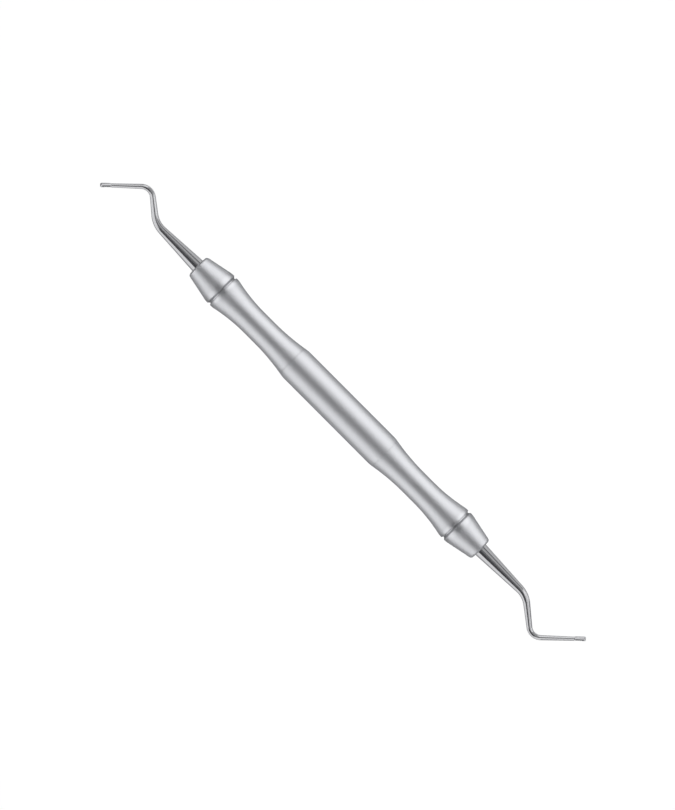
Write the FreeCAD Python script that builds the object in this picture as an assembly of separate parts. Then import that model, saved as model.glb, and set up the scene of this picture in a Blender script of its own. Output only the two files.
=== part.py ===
import FreeCAD, Part
import math
import os

# Double-ended periodontal file: a hollow satin steel handle, a cone plug pressed into each
# of its ends, and a forged working end pressed into each cone.
# Millimetres. The origin is the middle of the handle's axis. X runs along the handle, both
# shanks are bent in the XY plane, and Z is up from the surface that the instrument lies on.

# Handle barrel, from its middle outwards
grip_length = 32.4
grip_radius = 4.87
shoulder_length = 6.33
waist_length = 14.33
waist_radius = 3.81
flare_length = 5.41
collar_land = 1.0
collar_radius = 5.0
waist_wall = 0.5

# Turning radii of the barrel's waists, the radius above which an arc is written as a spline,
# and the small chamfer on every turned edge
inner_waist_blend = 61.0
outer_waist_blend = 48.0
wide_arc = 10.0
edge_break = 0.2

# End cones
groove_width = 0.8
groove_depth = 0.5
cone_land = 0.75
cone_length = 7.88
cone_end_radius = 3.37
cone_rim_break = 0.45
spigot_length = 6.0

# Tangs, pressed into the cones
tang_radius = 1.5
tang_length = 12.0

# Shank runs, from corner to corner of the centreline, and the turns between them
left_first_run = 15.58
left_middle_run = 9.88
left_terminal_run = 13.6
right_first_run = 16.86
right_middle_run = 11.24
right_terminal_run = 14.58
first_bend_angle = 38.5
terminal_angle = 43.3
first_bend_radius = 7.0
second_bend_radius = 3.15

# Shank diameters, where it leaves the cone, in its two bends, and at the neck of the head,
# and the most that a slight taper changes from one of its sections to the next
exit_diameter = 3.75
first_bend_diameter = 2.0
second_bend_diameter = 1.3
neck_diameter = 0.98
taper_step = 0.4

# File heads
head_length = 3.1
head_width = 1.68
head_thickness = 1.12
face_height = 0.5
heel_width = 1.24
heel_length = 0.55
heel_flare = 0.8
nose_corner_round = 0.62
nose_edge_round = 0.4
back_round = 0.7

# Blades across the face of each head
blade_count = 4
blade_pitch = 0.53
blade_land = 0.05
blade_depth = 0.22
rake_setback = 0.08
nose_land = 1.12

# Lengths that follow from the driving ones
barrel_end = grip_length / 2 + shoulder_length + waist_length + flare_length + collar_land
groove_end = barrel_end + groove_width
handle_end = groove_end + cone_land + cone_length
bore_radius = waist_radius - waist_wall
back_height = head_thickness - face_height


def point(x, y):
    return FreeCAD.Vector(x, y, 0)


def heading(angle):
    return point(math.cos(math.radians(angle)), math.sin(math.radians(angle)))


def rounded_outline(corners):
    """Closed wire through corners (x, y, radius): straight sides, with a tangent arc at each
    corner. A radius is limited to what its two sides have room for. A wide arc is written as
    a spline of the same shape, because its turned surface then has fewer facets."""
    count = len(corners)
    places = [point(x, y) for x, y, radius in corners]
    sides = [places[(i + 1) % count] - places[i] for i in range(count)]
    half_turns = [sides[i - 1].getAngle(sides[i]) / 2 for i in range(count)]
    wanted = [corners[i][2] * math.tan(half_turns[i]) for i in range(count)]
    room = [sides[i].Length / max(wanted[i] + wanted[(i + 1) % count], 1e-9) for i in range(count)]
    setbacks = [wanted[i] * min(1, room[i - 1], room[i]) for i in range(count)]
    edges = []
    for i in range(count):
        way_in = FreeCAD.Vector(sides[i - 1]).normalize()
        way_out = FreeCAD.Vector(sides[i]).normalize()
        after = places[i] + way_out * setbacks[i]
        if setbacks[i] > 0:
            before = places[i] - way_in * setbacks[i]
            inwards = (way_out - way_in).normalize()
            radius = setbacks[i] / math.tan(half_turns[i])
            middle = places[i] + inwards * (radius / math.cos(half_turns[i]) - radius)
            arc = Part.Arc(before, middle, after)
            edges.append((arc.toBSpline() if radius > wide_arc else arc).toShape())
        following = (i + 1) % count
        side_end = places[following] - way_out * setbacks[following]
        if (side_end - after).Length > 1e-7:
            edges.append(Part.LineSegment(after, side_end).toShape())
    return Part.Wire(edges)


def turned(corners):
    """Solid of revolution about X of an outline of corners (x, radius from X, rounding)."""
    face = Part.Face(rounded_outline(corners))
    return face.revolve(point(0, 0), point(1, 0), 360)


def prism(outline, direction, length):
    """Solid of an outline's face carried along a direction, half the length each way."""
    shift = direction * (length / 2)
    face = Part.Face(outline)
    face.translate(shift.negative())
    return face.extrude(shift * 2)


def make_handle_barrel():
    """Turned tube, bored right through: a straight middle grip, two waists and two collars."""
    shoulder_start = grip_length / 2
    waist_start = shoulder_start + shoulder_length
    flare_start = waist_start + waist_length
    land_start = flare_start + flare_length
    half = [
        (shoulder_start, grip_radius, 0),
        (waist_start, waist_radius, inner_waist_blend),
        (flare_start, waist_radius, outer_waist_blend),
        (land_start, collar_radius, 0),
        (barrel_end - edge_break, collar_radius, 0),
        (barrel_end, collar_radius - edge_break, 0),
        (barrel_end, bore_radius, 0),
    ]
    mirrored = [(-x, radius, rounding) for x, radius, rounding in reversed(half)]
    return turned(half + mirrored)


def make_end_cone():
    """Turned plug: a spigot in the barrel's bore, the ring that is the floor of the groove,
    and the cone, with a hole through it for the tang."""
    spigot_start = barrel_end - spigot_length
    groove_radius = collar_radius - groove_depth
    cone_start = groove_end + cone_land
    cone_slope = (collar_radius - cone_end_radius) / cone_length
    return turned([
        (spigot_start, tang_radius, 0),
        (handle_end, tang_radius, 0),
        (handle_end, cone_end_radius - cone_rim_break, 0),
        (handle_end - cone_rim_break, cone_end_radius + cone_rim_break * cone_slope, 0),
        (cone_start, collar_radius, 0),
        (groove_end + edge_break, collar_radius, 0),
        (groove_end, collar_radius - edge_break, 0),
        (groove_end, groove_radius, 0),
        (barrel_end, groove_radius, 0),
        (barrel_end, bore_radius, 0),
        (spigot_start, bore_radius, 0),
    ])


def shank_section(place, angle, diameter):
    """Circle round the shank's centreline where it passes a place, heading at an angle."""
    section = Part.Wire(Part.Circle(point(0, 0), point(1, 0), diameter / 2).toShape())
    section.rotate(point(0, 0), FreeCAD.Vector(0, 0, 1), angle)
    section.translate(place)
    return section


def tapered_bar(start, end, angle, first_diameter, last_diameter):
    """Round bar along a straight run that heads at an angle. A strong taper is a plain cone.
    A slight one is lofted through spline circles, one for every small step in diameter,
    because that surface has far fewer facets."""
    change = last_diameter - first_diameter
    steps = max(1, math.ceil(abs(change) / taper_step))
    plain_cone = steps > 2
    if plain_cone:
        steps = 1
    sections = []
    for step in range(steps + 1):
        share = step / steps
        place = start + (end - start) * share
        section = shank_section(place, angle, first_diameter + change * share)
        sections.append(section if plain_cone else Part.Wire(section.toNurbs().Edges))
    return Part.makeLoft(sections, True, True)


def make_tang():
    """Turned root of a working end, which ends at the shoulder where the shank begins."""
    return turned([
        (-tang_length, 0, 0),
        (0, 0, 0),
        (0, tang_radius, 0),
        (-tang_length, tang_radius, 0),
    ])


def make_shank(first_run, middle_run, terminal_run):
    """Round bar from the shoulder to the neck: tapered straight runs, and between them bends
    of one diameter. Gives the bar and the place of its neck."""
    bends = [
        (first_run, first_bend_angle, first_bend_radius, first_bend_diameter),
        (middle_run, -terminal_angle, second_bend_radius, second_bend_diameter),
    ]
    pieces = []
    place = point(0, 0)
    angle = 0
    setback = 0
    diameter = exit_diameter
    for run, next_angle, radius, bend_diameter in bends:
        turn = next_angle - angle
        next_setback = radius * math.tan(math.radians(abs(turn)) / 2)
        run_end = place + heading(angle) * (run - setback - next_setback)
        pieces.append(tapered_bar(place, run_end, angle, diameter, bend_diameter))
        centre = run_end + heading(angle + math.copysign(90, turn)) * radius
        bent = Part.Face(shank_section(run_end, angle, bend_diameter))
        pieces.append(bent.revolve(centre, FreeCAD.Vector(0, 0, math.copysign(1, turn)), abs(turn)))
        place = run_end + (heading(angle) + heading(next_angle)) * next_setback
        angle = next_angle
        setback = next_setback
        diameter = bend_diameter
    neck = place + heading(angle) * (terminal_run - setback - head_length)
    pieces.append(tapered_bar(place, neck, angle, diameter, neck_diameter))
    return pieces, neck


def make_head_blank():
    """Pear-shaped head along X with its face towards Y: what its plan, its side view, its
    domed section and the cone of its heel have in common."""
    along_y = FreeCAD.Vector(0, 1, 0)
    along_z = FreeCAD.Vector(0, 0, 1)
    along_x = FreeCAD.Vector(1, 0, 0)
    span = 4 * max(head_length, head_width)
    half_plan = [
        (0, neck_diameter / 2, 0),
        (heel_length, heel_width / 2, heel_length),
        (head_length, head_width / 2, nose_corner_round),
    ]
    plan = rounded_outline(half_plan + [(x, -y, radius) for x, y, radius in reversed(half_plan)])
    plan.rotate(point(0, 0), along_x, 90)
    side = rounded_outline([
        (0, -neck_diameter / 2, 0),
        (heel_length, -back_height, heel_length),
        (head_length, -back_height, nose_edge_round),
        (head_length, face_height, nose_edge_round),
        (0, face_height, 0),
    ])
    dome = rounded_outline([
        (-head_width / 2, face_height, 0),
        (-head_width / 2, -back_height, back_round),
        (head_width / 2, -back_height, back_round),
        (head_width / 2, face_height, 0),
    ])
    dome.rotate(point(0, 0), along_y, 90)
    heel_cone = Part.makeCone(
        neck_diameter / 2, neck_diameter / 2 + heel_flare * head_length, head_length,
        point(0, 0), along_x)
    blank = prism(plan, along_y, span)
    blank = blank.common(prism(side, along_z, span))
    blank = blank.common(prism(dome, along_x, span))
    return blank.common(heel_cone)


def make_gullet(edge):
    """Prism that is cut away on the shank's side of one blade's edge: the back of the blade
    before it slopes down to the gullet, and the rake face stands up to the edge."""
    above = face_height + head_thickness
    outline = rounded_outline([
        (edge - blade_pitch + blade_land, face_height, 0),
        (edge - rake_setback, face_height - blade_depth, 0),
        (edge, face_height, 0),
        (edge, above, 0),
        (edge - blade_pitch + blade_land, above, 0),
    ])
    return prism(outline, FreeCAD.Vector(0, 0, 1), 2 * head_width)


def make_file_head():
    head = make_head_blank()
    first_edge = head_length - nose_land
    for blade in range(blade_count):
        head = head.cut(make_gullet(first_edge - blade * blade_pitch))
    return head


def make_working_end(first_run, middle_run, terminal_run, face_side):
    """Working end with its shoulder at the origin and its shank bent towards Y. face_side is
    1 where the blades are on the outside of the second bend, and -1 where they are inside."""
    shank, neck = make_shank(first_run, middle_run, terminal_run)
    head = make_file_head()
    head.rotate(point(0, 0), point(1, 0), 0 if face_side > 0 else 180)
    head.rotate(point(0, 0), FreeCAD.Vector(0, 0, 1), -terminal_angle)
    head.translate(neck)
    return make_tang().fuse(shank + [head]).removeSplitter()


def seated(shape, side):
    """The shape at the right-hand end of the handle, or turned half round to the left one."""
    if side < 0:
        shape = shape.copy()
        shape.rotate(point(0, 0), FreeCAD.Vector(0, 0, 1), 180)
    return shape


def main():
    end_cone = make_end_cone()
    working_ends = {
        "left": make_working_end(left_first_run, left_middle_run, left_terminal_run, -1),
        "right": make_working_end(right_first_run, right_middle_run, right_terminal_run, 1),
    }
    nodes = {"handle_barrel": make_handle_barrel()}
    for name, side in (("left", -1), ("right", 1)):
        working_end = working_ends[name]
        working_end.rotate(point(0, 0), point(1, 0), 180)
        working_end.translate(point(handle_end, 0))
        nodes["end_cone_" + name] = seated(end_cone, side)
        nodes["working_end_" + name] = seated(working_end, side)
    os.makedirs("parts", exist_ok=True)
    for name, shape in nodes.items():
        solid = shape.Solids[0]
        solid.exportStep("parts/" + name + ".step")
        print(name, len(shape.Solids), solid.isValid(), round(solid.Volume, 3))


main()
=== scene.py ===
import math

import bpy
import numpy as np
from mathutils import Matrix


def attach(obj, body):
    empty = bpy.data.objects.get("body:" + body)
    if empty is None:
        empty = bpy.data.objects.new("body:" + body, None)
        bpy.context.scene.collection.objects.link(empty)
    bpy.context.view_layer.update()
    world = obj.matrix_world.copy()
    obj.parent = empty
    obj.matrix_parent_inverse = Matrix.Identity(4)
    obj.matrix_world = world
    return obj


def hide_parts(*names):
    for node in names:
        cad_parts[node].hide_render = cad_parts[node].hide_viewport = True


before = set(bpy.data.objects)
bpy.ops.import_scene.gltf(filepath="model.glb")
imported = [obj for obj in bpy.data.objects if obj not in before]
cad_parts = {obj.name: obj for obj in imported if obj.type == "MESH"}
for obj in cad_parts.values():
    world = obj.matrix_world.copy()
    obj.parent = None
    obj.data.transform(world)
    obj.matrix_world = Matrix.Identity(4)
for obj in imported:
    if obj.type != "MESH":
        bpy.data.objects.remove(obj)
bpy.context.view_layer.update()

# Handle barrel. A stainless steel tube, bored right through and turned to two waists, with a
# fine turning line where each begins and a collar at each end. It is blasted to a soft satin,
# with shade painted into its colour along each turning line and in and beside the grooves, and
# both end cones are pressed into its bore.
MM = 0.001
grip_length = 32.4
grip_radius = 4.87
shoulder_length = 6.33
waist_length = 14.33
waist_radius = 3.81
flare_length = 5.41
collar_land = 1.0
collar_radius = 5.0
bore_radius = 3.31
barrel_end = grip_length / 2 + shoulder_length + waist_length + flare_length + collar_land
grip_end_blend = 9.0
inner_waist_blend = 61.0
outer_waist_blend = 48.0
collar_blend = 5.3
barrel_edge_round = 0.3
turning_line_left = 17.5
turning_line_right = 17.1
turning_line_depth = 0.04
turning_line_width = 0.4
turning_line_round = 0.1
sides_round_handle = 256
shortest_step = 1e-6


def rounded_outline(corners, steps=20):
    """Points round a closed outline of corners (x, radius from the axis, rounding). A corner's
    points lie on the arc that touches both of its sides: the arc's centre plus its first spoke
    turned in even steps through the corner's angle. Points that repeat are dropped."""
    place = np.array(corners, float)[:, :2]
    rounding = np.array(corners, float)[:, 2]
    way_in = place - np.roll(place, 1, axis=0)
    way_in /= np.linalg.norm(way_in, axis=1)[:, None]
    way_out = np.roll(way_in, -1, axis=0)
    cross = way_in[:, 0] * way_out[:, 1] - way_in[:, 1] * way_out[:, 0]
    turn = np.arctan2(cross, np.sum(way_in * way_out, axis=1))
    setback = rounding * np.tan(np.abs(turn) / 2)
    first = place - way_in * setback[:, None]
    inward = np.stack([-way_in[:, 1], way_in[:, 0]], axis=1) * np.sign(turn)[:, None]
    centre = first + inward * rounding[:, None]
    angle = turn[:, None] * np.linspace(0, 1, steps)[None, :]
    spoke = first - centre
    x = centre[:, :1] + spoke[:, :1] * np.cos(angle) - spoke[:, 1:] * np.sin(angle)
    y = centre[:, 1:] + spoke[:, :1] * np.sin(angle) + spoke[:, 1:] * np.cos(angle)
    points = np.stack([x.ravel(), y.ravel()], axis=1)
    step = np.linalg.norm(points - np.roll(points, 1, axis=0), axis=1)
    return points[step > shortest_step]


def grid_piece(name, points, closed_rows, crease_angle=40):
    """Mesh of a grid of points (row, column, xyz) in millimetres whose columns go right round.
    Rows close on each other too if asked. Otherwise a fan to the middle of the first row and
    one to the middle of the last row close the ends. Faces that meet at more than the crease
    angle keep a sharp edge."""
    rows, columns, _ = points.shape
    number = np.arange(rows * columns).reshape(rows, columns)
    near = number if closed_rows else number[:-1]
    far = np.roll(number, -1, axis=0) if closed_rows else number[1:]
    quads = np.stack([near, np.roll(near, -1, 1), np.roll(far, -1, 1), far], axis=-1)
    vertices = points.reshape(-1, 3)
    faces = quads.reshape(-1, 4).tolist()
    if not closed_rows:
        ends = np.stack([points[0].mean(axis=0), points[-1].mean(axis=0)])
        vertices = np.concatenate([vertices, ends])
        start = np.full(columns, rows * columns)
        first_fan = np.stack([start, np.roll(number[0], -1), number[0]], axis=1)
        last_fan = np.stack([start + 1, number[-1], np.roll(number[-1], -1)], axis=1)
        faces += first_fan.tolist() + last_fan.tolist()
    mesh = bpy.data.meshes.new(name)
    mesh.from_pydata((vertices * MM).tolist(), [], faces)
    mesh.shade_smooth()
    mesh.set_sharp_from_angle(angle=math.radians(crease_angle))
    mesh.validate()
    piece = bpy.data.objects.new(name, mesh)
    bpy.context.scene.collection.objects.link(piece)
    return piece


def turned(name, outline):
    """Surface of an outline (x, radius) turned about the X axis: each point goes round a circle
    of its own radius, y = radius sin(angle) and z = radius cos(angle)."""
    angle = np.linspace(0, 2 * np.pi, sides_round_handle, endpoint=False)[None, :]
    x = np.repeat(outline[:, :1], sides_round_handle, axis=1)
    radius = outline[:, 1:]
    points = np.stack([x, radius * np.sin(angle), radius * np.cos(angle)], axis=-1)
    return grid_piece(name, points, closed_rows=True)


satin_grey = (0.605, 0.611, 0.63)
satin_darker_grey = (0.585, 0.591, 0.609)
satin_roughness = 0.52
roughness_spread = 0.02
steel_cloud_scale = 130.0
steel_cloud_detail = 4.0
turning_marks_stretch = (2600.0, 60.0, 60.0)
turning_marks_detail = 3.0
turning_marks_strength = 0.35
blasted_grain_scale = 5200.0
blasted_grain_detail = 2.0
blasted_grain_strength = 0.25
mark_height = 0.00001
lip_start = 42.3
lip_end = 45.4
lip_smoother = 0.07
# Painted shade: the colour is darkened in a ring along each turning line, where shade falls in
# its shallow cut.
line_shade_reach = 0.5
line_shade_tone = 0.95
# Painted shade: the colour is a little darker over the lips on both sides of each groove.
lip_shade_middle = 43.72
lip_shade_reach = 1.6
lip_shade_tone = 0.93
# Painted shade: the colour is darker again in each groove, where shade falls in the recess.
groove_shade_middle = 43.6
groove_shade_reach = 0.5
groove_shade_tone = 0.84
# Rings of painted shade round the X axis: the middle, reach and tone of each.
painted_shade_rings = (
    (-turning_line_left, line_shade_reach, line_shade_tone),
    (turning_line_right, line_shade_reach, line_shade_tone),
    (-lip_shade_middle, lip_shade_reach, lip_shade_tone),
    (lip_shade_middle, lip_shade_reach, lip_shade_tone),
    (-groove_shade_middle, groove_shade_reach, groove_shade_tone),
    (groove_shade_middle, groove_shade_reach, groove_shade_tone))


def steel(name, grey, darker_grey, rough):
    """Steel shader whose colour wavers between two greys, and whose roughness wavers a little
    round its middle, both with one slow noise. Gives the material, its nodes and links, its
    shader, and the object's own coordinates."""
    material = bpy.data.materials.new(name)
    material.use_nodes = True
    nodes = material.node_tree.nodes
    links = material.node_tree.links
    shader = nodes["Principled BSDF"]
    shader.inputs["Metallic"].default_value = 1.0
    place = nodes.new("ShaderNodeTexCoord").outputs["Object"]
    cloud = nodes.new("ShaderNodeTexNoise")
    cloud.inputs["Scale"].default_value = steel_cloud_scale
    cloud.inputs["Detail"].default_value = steel_cloud_detail
    links.new(place, cloud.inputs["Vector"])
    tint = nodes.new("ShaderNodeMix")
    tint.data_type = "RGBA"
    tint.inputs["A"].default_value = (*darker_grey, 1)
    tint.inputs["B"].default_value = (*grey, 1)
    links.new(cloud.outputs["Fac"], tint.inputs["Factor"])
    links.new(tint.outputs["Result"], shader.inputs["Base Color"])
    roughness = nodes.new("ShaderNodeMapRange")
    roughness.inputs["To Min"].default_value = rough - roughness_spread
    roughness.inputs["To Max"].default_value = rough + roughness_spread
    links.new(cloud.outputs["Fac"], roughness.inputs["Value"])
    links.new(roughness.outputs["Result"], shader.inputs["Roughness"])
    return material, nodes, links, shader, place


def worked_out(nodes, links, operation, *terms):
    """Output of a node that does one operation on its terms, each of which is a number or
    another node's output."""
    node = nodes.new("ShaderNodeMath")
    node.operation = operation
    for number, term in enumerate(terms):
        if isinstance(term, float):
            node.inputs[number].default_value = term
        else:
            links.new(term, node.inputs[number])
    return node.outputs["Value"]


def shallow_marks(nodes, links, place, scale, detail, strength):
    """Bump node that raises the surface by a fine noise, by the height of a mark at most."""
    noise = nodes.new("ShaderNodeTexNoise")
    noise.inputs["Scale"].default_value = scale
    noise.inputs["Detail"].default_value = detail
    links.new(place, noise.inputs["Vector"])
    bump = nodes.new("ShaderNodeBump")
    bump.inputs["Strength"].default_value = strength
    bump.inputs["Distance"].default_value = mark_height
    links.new(noise.outputs["Fac"], bump.inputs["Height"])
    return bump


def satin_steel():
    """Satin steel. Rings of painted shade go round the X axis, along the turning lines and in
    and
    beside the grooves: each keeps only its tone of the colour at its middle and fades out
    smoothly over its reach. The lips of the grooves are a little
    smoother. Fine turning marks go round the axis, a noise drawn out round it, and the even
    grain of blasting lies over them."""
    material, nodes, links, shader, place = steel(
        "satin_steel", satin_grey, satin_darker_grey, satin_roughness)
    split = nodes.new("ShaderNodeSeparateXYZ")
    links.new(place, split.inputs["Vector"])
    along = split.outputs["X"]
    colour = shader.inputs["Base Color"].links[0].from_socket
    # Each ring of painted shade multiplies the colour by its tone, fully at its middle.
    for middle, reach, tone in painted_shade_rings:
        offset = worked_out(nodes, links, "SUBTRACT", along, middle * MM)
        away = worked_out(nodes, links, "ABSOLUTE", offset)
        closeness = nodes.new("ShaderNodeMapRange")
        closeness.interpolation_type = "SMOOTHSTEP"
        closeness.inputs["From Min"].default_value = reach * MM
        closeness.inputs["From Max"].default_value = 0.0
        links.new(away, closeness.inputs["Value"])
        ring = nodes.new("ShaderNodeMix")
        ring.data_type = "RGBA"
        ring.blend_type = "MULTIPLY"
        ring.inputs["B"].default_value = (tone, tone, tone, 1)
        links.new(closeness.outputs["Result"], ring.inputs["Factor"])
        links.new(colour, ring.inputs["A"])
        colour = ring.outputs["Result"]
    links.new(colour, shader.inputs["Base Color"])
    from_middle = worked_out(nodes, links, "ABSOLUTE", along)
    lip_middle = (lip_start + lip_end) / 2 * MM
    lip_reach = (lip_end - lip_start) / 2 * MM
    on_lip = worked_out(nodes, links, "COMPARE", from_middle, lip_middle, lip_reach)
    rough = shader.inputs["Roughness"].links[0].from_socket
    smoother = worked_out(nodes, links, "MULTIPLY_ADD", on_lip, -lip_smoother, rough)
    links.new(smoother, shader.inputs["Roughness"])
    stretch = nodes.new("ShaderNodeMapping")
    stretch.inputs["Scale"].default_value = turning_marks_stretch
    links.new(place, stretch.inputs["Vector"])
    turning = shallow_marks(nodes, links, stretch.outputs["Vector"], 1.0,
                            turning_marks_detail, turning_marks_strength)
    blasting = shallow_marks(nodes, links, place, blasted_grain_scale,
                             blasted_grain_detail, blasted_grain_strength)
    links.new(turning.outputs["Normal"], blasting.inputs["Normal"])
    links.new(blasting.outputs["Normal"], shader.inputs["Normal"])
    return material


def barrel_half(line):
    """Half of the barrel's outline from its middle outwards, with the turning line at its place
    on the straight slope from the grip down to the waist."""
    grip_end = grip_length / 2
    waist_start = grip_end + shoulder_length
    flare_start = waist_start + waist_length
    land_start = flare_start + flare_length
    half_line = turning_line_width / 2
    slope = (grip_radius - waist_radius) / shoulder_length
    before = grip_radius - slope * (line - half_line - grip_end)
    bottom = grip_radius - slope * (line - grip_end) - turning_line_depth
    after = grip_radius - slope * (line + half_line - grip_end)
    return [
        (grip_end, grip_radius, grip_end_blend),
        (line - half_line, before, turning_line_round),
        (line, bottom, turning_line_round),
        (line + half_line, after, turning_line_round),
        (waist_start, waist_radius, inner_waist_blend),
        (flare_start, waist_radius, outer_waist_blend),
        (land_start, collar_radius, collar_blend),
        (barrel_end, collar_radius, barrel_edge_round),
        (barrel_end, bore_radius, 0),
    ]


right_half = barrel_half(turning_line_right)
left_half = [(-x, radius, rounding) for x, radius, rounding in barrel_half(turning_line_left)]
satin = satin_steel()
barrel = turned("barrel", rounded_outline(left_half + right_half[::-1]))
barrel.data.materials.append(satin)
satin_pieces = bpy.data.collections.new("satin_pieces")
satin_pieces.objects.link(barrel)
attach(barrel, "root")
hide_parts("handle_barrel")

# End cones. Each is a turned stainless steel plug with the barrel's satin finish: a spigot
# pressed into the bore, a thin ring that is the floor of the groove, and the cone itself, with
# a softened rim round the flat face where the working end comes out.
groove_width = 0.8
groove_depth = 0.5
groove_floor_round = 0.2
groove_wall_lean = 0.5
cone_land = 0.75
cone_land_blend = 4.9
cone_length = 7.88
cone_end_radius = 3.37
cone_edge_round = 0.25
cone_rim_round = 0.8
spigot_length = 6.0
spigot_edge_round = 0.2
tang_radius = 1.5
tang_hole_round = 0.08
groove_end = barrel_end + groove_width
handle_end = groove_end + cone_land + cone_length


def cone_outline():
    """Outline of the right-hand plug, from the hole's inner end round to the spigot's edge."""
    spigot_start = barrel_end - spigot_length
    floor_radius = collar_radius - groove_depth
    return rounded_outline([
        (spigot_start, tang_radius, 0),
        (handle_end, tang_radius, tang_hole_round),
        (handle_end, cone_end_radius, cone_rim_round),
        (groove_end + cone_land, collar_radius, cone_land_blend),
        (groove_end, collar_radius, cone_edge_round),
        (groove_end - groove_wall_lean, floor_radius, groove_floor_round),
        (barrel_end, floor_radius, 0),
        (barrel_end, bore_radius, 0),
        (spigot_start, bore_radius, spigot_edge_round),
    ])


for side_name, side in (("left", -1), ("right", 1)):
    outline = cone_outline()
    if side < 0:
        outline = (outline * [-1, 1])[::-1]
    cone = turned("cone_" + side_name, outline)
    cone.data.materials.append(satin)
    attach(cone, "root")
    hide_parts("end_cone_" + side_name)
    satin_pieces.objects.link(cone)

# Working ends. Each is forged and ground from one stainless steel bar and polished: a tang
# pressed into its cone up to a shoulder, a shank that tapers through two bends in one plane,
# and a pear-shaped file head with straight blades ground across its face.
tang_length = 12.0
first_bend_angle = math.radians(38.5)
terminal_angle = math.radians(43.3)
first_bend_radius = 7.0
second_bend_radius = 3.15
shank_diameters = (3.98, 2.34, 1.86, 1.57, 1.38, 1.1)
taper_window = 1.2
taper_window_places = 13
runs = {"left": (15.58, 9.88, 13.6), "right": (16.86, 11.24, 14.58)}
head_length = 3.1
head_width = 1.68
heel_length = 0.55
heel_width = 1.24
heel_blend = 0.75
face_height = 0.55
back_height = 0.65
face_edge_round = 0.12
back_fullness = 0.9
nose_corner_round = 0.62
nose_edge_round = 0.4
blade_count = 4
blade_pitch = 0.53
blade_land = 0.05
blade_depth = 0.22
rake_setback = 0.08
nose_land = 1.12
columns_round_shank = 96
rows_along_shank = 420
rows_along_head = 240
centreline_places = 20001
face_corner_angle = math.radians(52)
head_crease_angle = 32
polished_grey = (0.572, 0.573, 0.586)
polished_darker_grey = (0.552, 0.553, 0.566)
polished_roughness = 0.11
mop_lines_scale = 2400.0
mop_lines_detail = 3.0
mop_lines_strength = 0.12


def bend_places(first_run, middle_run):
    """Distances along the centreline at which each bend starts and ends, and how much of the
    last run the second bend takes. A bend takes its radius times the tangent of half its turn
    off the straight run on each side of it."""
    second_turn = first_bend_angle + terminal_angle
    first_setback = first_bend_radius * math.tan(first_bend_angle / 2)
    second_setback = second_bend_radius * math.tan(second_turn / 2)
    first_start = first_run - first_setback
    first_end = first_start + first_bend_radius * first_bend_angle
    second_start = first_end + middle_run - first_setback - second_setback
    second_end = second_start + second_bend_radius * second_turn
    return first_start, first_end, second_start, second_end, second_setback


def centreline(first_run, middle_run, along):
    """Places (x, y) and headings at distances along a centreline that starts at the shoulder.
    The heading turns evenly through each bend, and a place is the running sum of short steps
    in the direction of the heading."""
    first_start, first_end, second_start, second_end, _ = bend_places(first_run, middle_run)

    def heading_at(distance):
        """Angle of the first bend's share that is behind, less the second bend's."""
        first = np.clip((distance - first_start) / (first_end - first_start), 0, 1)
        second = np.clip((distance - second_start) / (second_end - second_start), 0, 1)
        return first * first_bend_angle - second * (first_bend_angle + terminal_angle)

    fine = np.linspace(along.min(), along.max(), centreline_places)
    middle = heading_at((fine[1:] + fine[:-1]) / 2)
    step = fine[1] - fine[0]
    x = np.concatenate([[0], np.cumsum(np.cos(middle))]) * step + along.min()
    y = np.concatenate([[0], np.cumsum(np.sin(middle))]) * step
    return np.interp(along, fine, x), np.interp(along, fine, y), heading_at(along)


def shank_radius(first_run, middle_run, neck, along):
    """Half the diameter at distances along the shank: straight tapers between the diameters at
    the shoulder, at both ends of each bend and at the neck, averaged over a short window so
    that one taper flows into the next."""
    stations = [0, *bend_places(first_run, middle_run)[:4], neck]
    window = np.linspace(-taper_window, taper_window, taper_window_places)
    spread = np.clip(along[:, None] + window[None, :], 0, neck)
    return np.interp(spread, stations, shank_diameters).mean(axis=1) / 2


def blade_corners():
    """Distances from the neck of the corners that the blades are ground to: for each blade the
    end of the land before it, the bottom of its gullet, and its edge."""
    edges = head_length - nose_land - blade_pitch * np.arange(blade_count)[::-1]
    return np.stack([edges - blade_pitch + blade_land, edges - rake_setback, edges], axis=1)


def face_level(place):
    """Height of the head's face at distances from the neck. From each blade's edge the face
    drops steeply to the gullet on the shank's side and climbs back to the next edge's land."""
    levels = np.tile([face_height, face_height - blade_depth, face_height], blade_count)
    return np.interp(place, blade_corners().ravel(), levels)


def rounded_end(place, level, rounding):
    """A level that falls away at the nose along a quarter circle of the given rounding."""
    past = np.clip(place - (head_length - rounding), 0, rounding)
    return level - rounding + np.sqrt(rounding ** 2 - past ** 2)


def section_columns():
    """For each column round a section: a share, and its angle on the shank's circle. The share
    runs from 0 to 1 across half of the flat face, from 1 to 2 round the face's edge, and from
    2 to 3 round the back, and it is negative on the other side."""
    across = columns_round_shank // 8
    down = columns_round_shank // 8
    around = columns_round_shank // 2 - down - across
    share = np.concatenate([
        np.linspace(0, 1, across, endpoint=False),
        1 + np.linspace(0, 1, down, endpoint=False),
        2 + np.linspace(0, 1, around, endpoint=False),
    ])
    angle = np.interp(share, [0, 1, 2, 3], [0, face_corner_angle, math.pi / 2, math.pi])
    share = np.concatenate([share, [3], -share[:0:-1]])
    angle = np.concatenate([angle, [math.pi], -angle[:0:-1]])
    return share, angle


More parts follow.
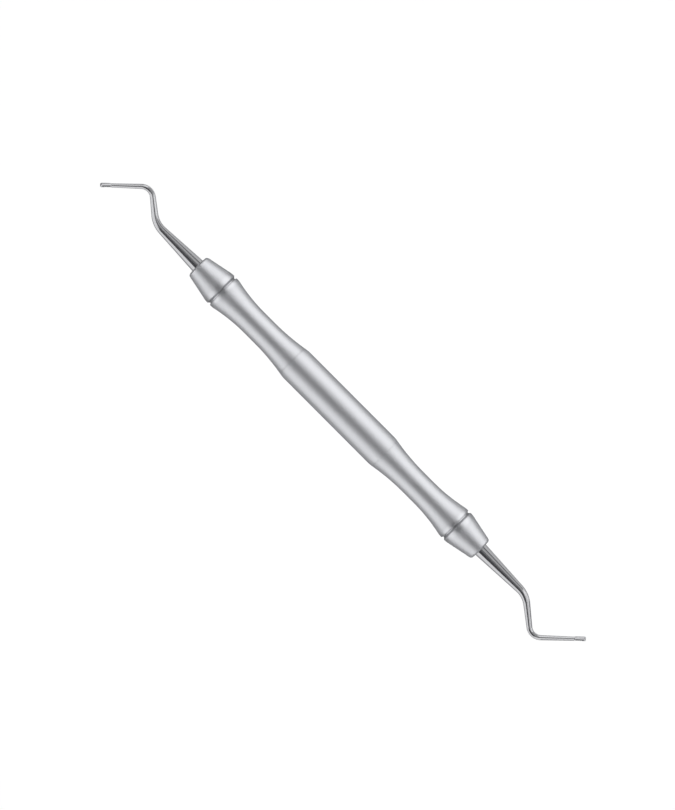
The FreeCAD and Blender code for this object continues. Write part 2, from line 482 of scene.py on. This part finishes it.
def head_section(place):
    """Points (height, width) of the head's sections at distances from the neck. The face is
    flat, its edge is a small quarter circle, and from there the back is one full arch, height
    and width being powers of the sine and cosine of one angle. Whatever rises above the level
    that the blades are ground to is cut down to it."""
    share, _ = section_columns()
    part = np.abs(share)
    sign = np.where(share < 0, -1, 1)
    neck_radius = shank_diameters[-1] / 2
    half_width = np.interp(place, [0, heel_length, head_length],
                           [neck_radius, heel_width / 2, head_width / 2])
    half_width = rounded_end(place, half_width, nose_corner_round)[:, None]
    top = rounded_end(place, face_height, nose_edge_round)[:, None]
    back = np.interp(place, [0, heel_length], [neck_radius, back_height])
    back = rounded_end(place, back, nose_edge_round)[:, None]
    edge = np.clip(part - 1, 0, 1) * math.pi / 2
    arch = np.clip(part - 2, 0, 1) * math.pi / 2
    height = top - face_edge_round * (1 - np.cos(edge))
    height = height - (top - face_edge_round + back) * np.sin(arch) ** back_fullness
    width = (half_width - face_edge_round) * np.clip(part, 0, 1) + face_edge_round * np.sin(edge)
    width = sign * width * np.cos(arch) ** back_fullness
    return np.minimum(height, face_level(place)[:, None]), width


def working_end(side_name, first_run, middle_run, terminal_run, face_side):
    """One surface from the tang to the nose. Every section lies square to the centreline: a
    circle along the tang and the shank, which turns into the head's section over the heel."""
    _, _, _, second_end, second_setback = bend_places(first_run, middle_run)
    neck = second_end + terminal_run - second_setback - head_length
    shank = np.linspace(0, neck, rows_along_shank, endpoint=False)
    head = np.linspace(0, head_length, rows_along_head)
    head = np.union1d(head, np.clip(blade_corners().ravel(), 0, head_length))
    along = np.concatenate([[-tang_length, 0], shank, neck + head])
    radius = shank_radius(first_run, middle_run, neck, along)
    radius[:2] = tang_radius
    x, y, heading = centreline(first_run, middle_run, along)
    _, angle = section_columns()
    height = radius[:, None] * np.cos(angle)[None, :]
    width = radius[:, None] * np.sin(angle)[None, :]
    head_height, head_breadth = head_section(head)
    blend = np.clip(head / (heel_length * heel_blend), 0, 1)[:, None]
    rows = slice(2 + len(shank), None)
    height[rows] += (head_height - height[rows]) * blend
    width[rows] += (head_breadth - width[rows]) * blend
    height *= face_side
    width *= face_side
    points = np.stack([
        x[:, None] - height * np.sin(heading)[:, None],
        y[:, None] + height * np.cos(heading)[:, None],
        width,
    ], axis=-1)
    points *= [1, -1, -1]
    points += [handle_end, 0, 0]
    if side_name == "left":
        points *= [-1, -1, 1]
    return grid_piece("working_end_" + side_name + "_surface", points, closed_rows=False,
                      crease_angle=head_crease_angle)


def polished_steel():
    """Polished steel: a low, even sheen with the faint lines of the polishing mop, which are a
    fine noise laid over the surface as a very shallow bump."""
    material, nodes, links, shader, place = steel(
        "polished_steel", polished_grey, polished_darker_grey, polished_roughness)
    lines = shallow_marks(
        nodes, links, place, mop_lines_scale, mop_lines_detail, mop_lines_strength)
    links.new(lines.outputs["Normal"], shader.inputs["Normal"])
    return material


polished = polished_steel()
polished_pieces = bpy.data.collections.new("polished_pieces")
for side_name, face_side in (("left", -1), ("right", 1)):
    end = working_end(side_name, *runs[side_name], face_side)
    end.data.materials.append(polished)
    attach(end, "root")
    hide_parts("working_end_" + side_name)
    polished_pieces.objects.link(end)

# Floor. A plain white sheet under the instrument, which lies on it with its collars touching
# it. It glows faintly by itself, so that it stays as even as a studio sweep.
floor_half = 4.0
floor_grey = (0.85, 0.85, 0.85)
floor_roughness = 0.9
floor_glow = 0.93
floor_mesh = bpy.data.meshes.new("floor")
floor_mesh.from_pydata(
    [(x * floor_half, y * floor_half, -collar_radius * MM)
     for x, y in ((-1, -1), (1, -1), (1, 1), (-1, 1))],
    [], [(0, 1, 2, 3)])
floor = bpy.data.objects.new("floor", floor_mesh)
bpy.context.scene.collection.objects.link(floor)
floor_white = bpy.data.materials.new("floor_white")
floor_white.use_nodes = True
floor_shader = floor_white.node_tree.nodes["Principled BSDF"]
floor_shader.inputs["Base Color"].default_value = (*floor_grey, 1)
floor_shader.inputs["Roughness"].default_value = floor_roughness
floor_shader.inputs["Specular IOR Level"].default_value = 0.0
floor_shader.inputs["Emission Color"].default_value = (1, 1, 1, 1)
floor_shader.inputs["Emission Strength"].default_value = floor_glow
floor_mesh.materials.append(floor_white)
floor.visible_glossy = False
floor.visible_shadow = False
floor_only = bpy.data.collections.new("floor_only")
floor_only.objects.link(floor)

# Light. A plain white studio over a white table. Two long softboxes along the handle give the
# satin steel a light band on each flank with a darker one between them, a panel past each end
# lights the cones and the grooves, and other panels all round model the polished ends.


def softbox(name, lit, zenith_angle, distance, width, length, radiance, shift=0.0):
    """Rectangular soft light that lights one collection. It stands at an angle from straight up,
    positive towards +Y, faces the handle's axis, shifted along it, and its power is radiance
    times pi times its area. The camera doesn't see it."""
    light = bpy.data.lights.new(name, "AREA")
    light.shape = "RECTANGLE"
    light.size = length
    light.size_y = width
    light.energy = radiance * math.pi * width * length
    lamp = bpy.data.objects.new(name, light)
    angle = math.radians(zenith_angle)
    lamp.location = (shift, distance * math.sin(angle), distance * math.cos(angle))
    lamp.rotation_euler = (-angle, 0, 0)
    lamp.visible_camera = False
    lamp.light_linking.receiver_collection = lit
    bpy.context.scene.collection.objects.link(lamp)


softbox("satin_upper", satin_pieces, zenith_angle=62, distance=0.6, width=0.92, length=1.6,
        radiance=1.66)
softbox("satin_lower", satin_pieces, zenith_angle=-67.5, distance=0.6, width=0.72, length=1.6,
        radiance=1.46)
softbox("satin_table", satin_pieces, zenith_angle=180, distance=0.35, width=2.8, length=2.8,
        radiance=0.2)
for side, end_radiance in ((-1, 0.6), (1, 0.9)):
    softbox("satin_end", satin_pieces, zenith_angle=0, distance=0.3, width=3.0, length=2.4,
            radiance=end_radiance, shift=2.0 * side)
softbox("polished_ceiling", polished_pieces, zenith_angle=33, distance=1.0, width=1.8,
        length=2.4, radiance=0.17)
softbox("polished_ridge", polished_pieces, zenith_angle=33, distance=0.9, width=0.5, length=0.8,
        radiance=0.35)
softbox("polished_lower", polished_pieces, zenith_angle=-79, distance=0.8, width=0.85,
        length=1.8, radiance=1.05)
softbox("polished_upper", polished_pieces, zenith_angle=90, distance=0.8, width=0.6, length=1.4,
        radiance=0.68)
softbox("polished_gap", polished_pieces, zenith_angle=-28, distance=1.1, width=0.75, length=2.4,
        radiance=0.05)
softbox("polished_table", polished_pieces, zenith_angle=180, distance=0.35, width=2.0,
        length=2.8, radiance=0.5)
for side in (-1, 1):
    softbox("polished_end", polished_pieces, zenith_angle=0, distance=0.35, width=3.0,
            length=2.4, radiance=0.5, shift=2.0 * side)
    softbox("polished_corner_lower", polished_pieces, zenith_angle=-15, distance=2.0, width=2.8,
            length=2.4, radiance=1.0, shift=1.75 * side)
    softbox("polished_corner_upper", polished_pieces, zenith_angle=53, distance=2.0, width=1.8,
            length=2.4, radiance=0.85, shift=1.75 * side)
softbox("floor_light", floor_only, zenith_angle=0, distance=1.2, width=1.2, length=1.2,
        radiance=0.25)

room_glow = (0.03, 0.031, 0.036)
world = bpy.data.worlds.new("studio")
world.use_nodes = True
world_nodes = world.node_tree.nodes
world_links = world.node_tree.links
seen = world_nodes.new("ShaderNodeLightPath")
walls = world_nodes.new("ShaderNodeMix")
walls.data_type = "RGBA"
walls.inputs["A"].default_value = (*room_glow, 1)
walls.inputs["B"].default_value = (1, 1, 1, 1)
world_links.new(seen.outputs["Is Camera Ray"], walls.inputs["Factor"])
world_links.new(walls.outputs["Result"], world_nodes["Background"].inputs["Color"])
bpy.context.scene.world = world

# Camera. It looks straight down through a long lens, turned so that the handle runs from the
# upper left to the lower right at the photograph's angle and with the photograph's margins.
picture_width = 675
picture_height = 810
view_width = 177.63 * MM
view_height = view_width * picture_height / picture_width
view_turn = math.radians(45.08)
view_centre = (-0.81 * MM, 0.21 * MM)
camera_height = 1.5
sensor = 36.0
nearest_seen = 0.01
farthest_seen = 20.0
camera_data = bpy.data.cameras.new("camera")
camera_data.sensor_fit = "VERTICAL"
camera_data.sensor_height = sensor
camera_data.lens = sensor * camera_height / view_height
camera_data.clip_start = nearest_seen
camera_data.clip_end = farthest_seen
camera = bpy.data.objects.new("camera", camera_data)
camera.location = (*view_centre, camera_height)
camera.rotation_euler = (0, 0, view_turn)
bpy.context.scene.collection.objects.link(camera)
bpy.context.scene.camera = camera
bpy.context.scene.view_settings.view_transform = "Standard"
